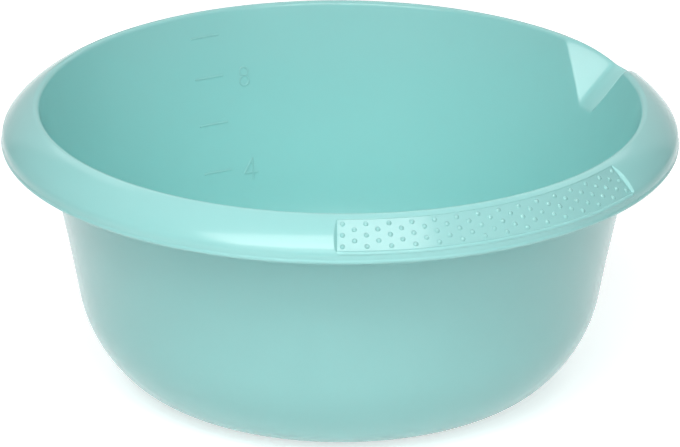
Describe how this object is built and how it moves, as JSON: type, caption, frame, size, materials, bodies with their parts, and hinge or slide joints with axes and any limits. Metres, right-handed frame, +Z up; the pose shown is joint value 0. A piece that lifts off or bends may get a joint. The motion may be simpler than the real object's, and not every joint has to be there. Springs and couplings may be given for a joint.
{
  "type": "washing up bowl",
  "caption": "Round glossy plastic washing up bowl with a wide rolled rim, studded grip strips, a pouring spout and raised litre marks inside",
  "frame": {"origin": "centre of the foot ring's underside, on the bowl's axis", "axes": "+Z up along the bowl's axis, +X towards the pouring spout, grips along -Y and +Y"},
  "size_m": [0.38, 0.3799, 0.1637],
  "materials": {
    "bowl_plastic": "glossy moulded polypropylene, mint green",
    "grip_plastic": "glossy moulded polypropylene with round studs, mint green"
  },
  "bodies": {
    "root": {"bowl_shell": "bowl_plastic", "right_grip_strip": "grip_plastic", "left_grip_strip": "grip_plastic"}
  },
  "joints": []
}
